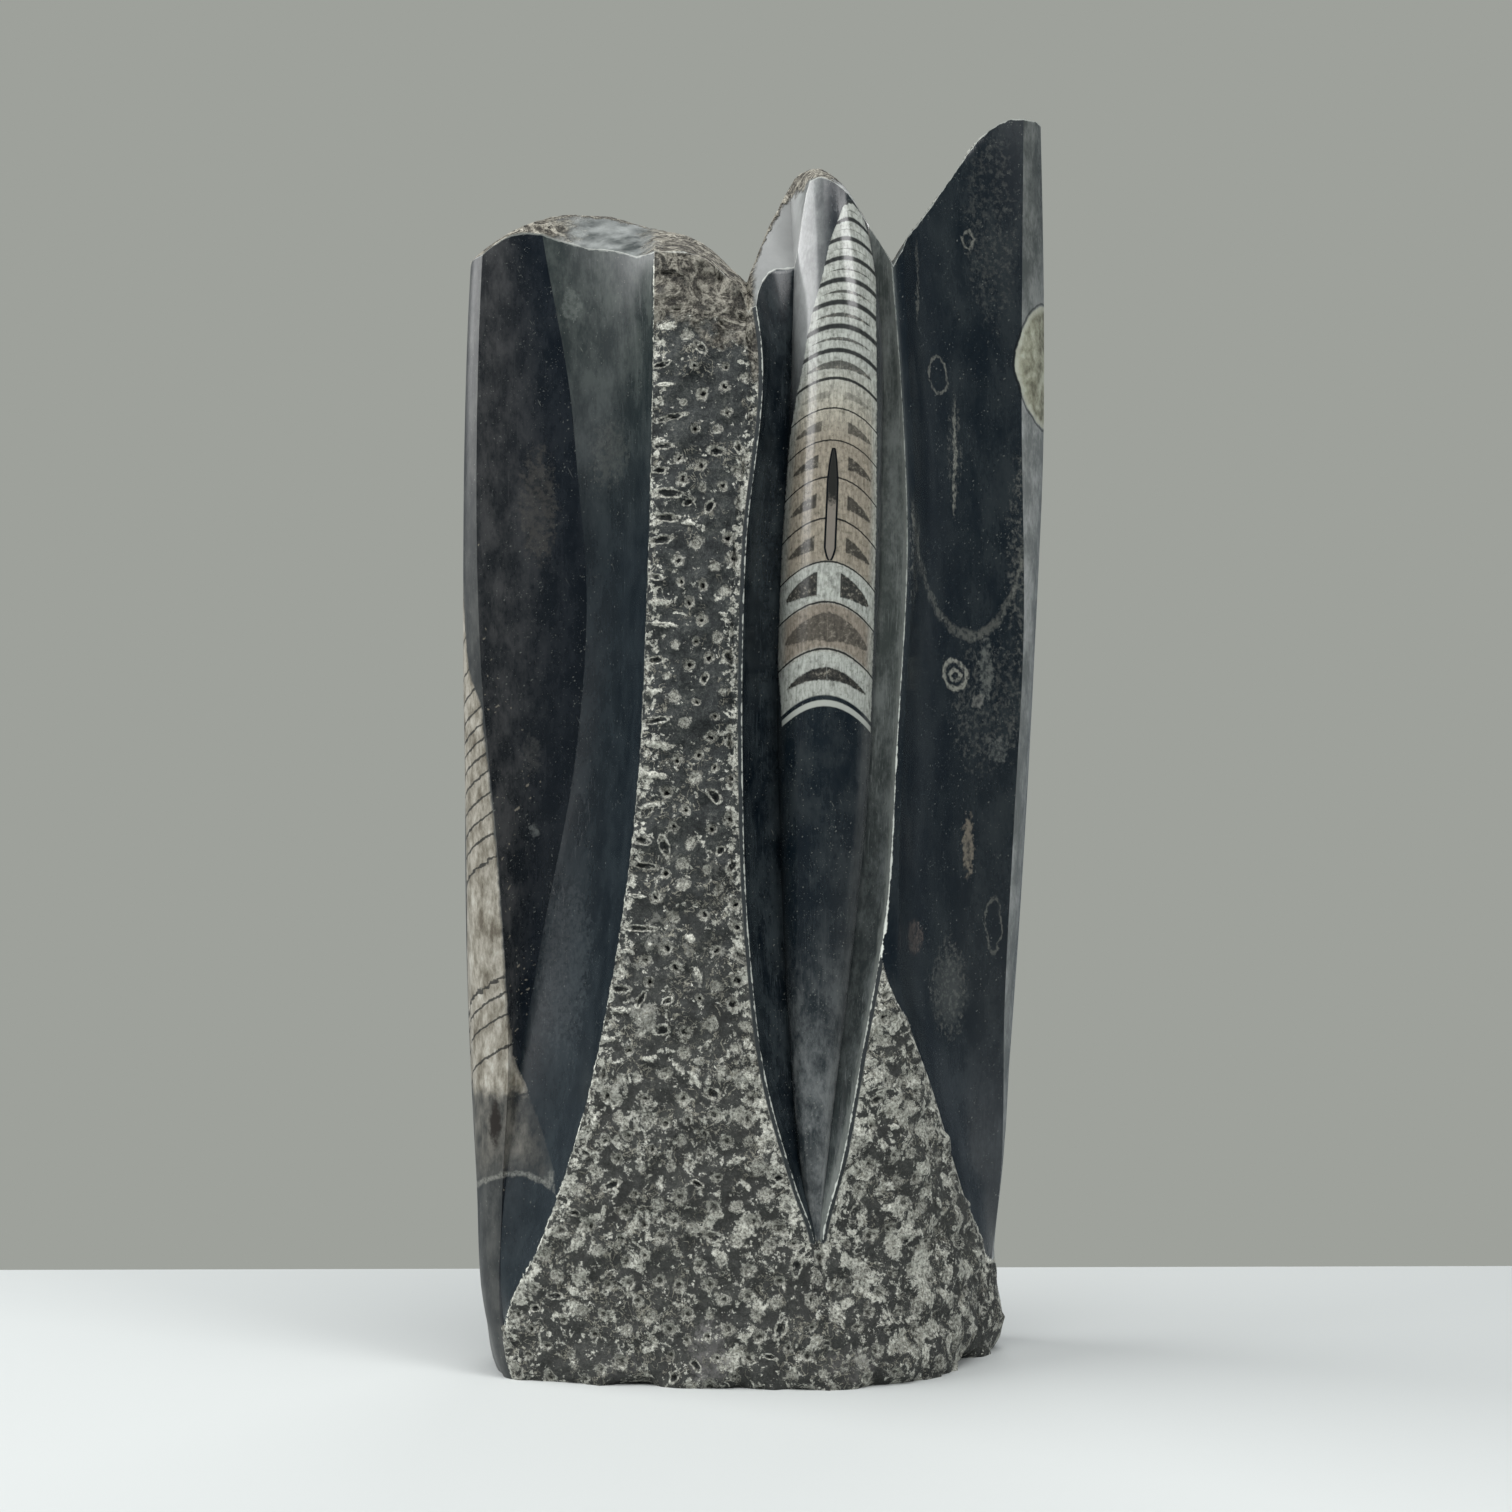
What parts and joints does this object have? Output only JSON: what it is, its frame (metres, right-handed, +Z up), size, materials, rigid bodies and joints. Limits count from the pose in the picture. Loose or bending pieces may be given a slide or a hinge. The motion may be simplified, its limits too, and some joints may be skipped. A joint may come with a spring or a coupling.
{
  "type": "orthoceras fossil sculpture",
  "caption": "Standing tower of black fossil limestone, carved with polished flutes and chiselled ground, with a straight chambered fossil on a raised spindle.",
  "frame": {"origin": "on the surface it stands on, under the middle of the tower's bounding box", "axes": "+Z up along the height, +X to the right across the front, and the carved front with the spindle faces -Y"},
  "size_m": [0.174, 0.1086, 0.3701],
  "materials": {
    "black_limestone": "polished flutes and spindle with pale fossils, rough point-chiselled ground between them"
  },
  "bodies": {
    "root": {"orthoceras_stone": "black_limestone"}
  },
  "joints": []
}
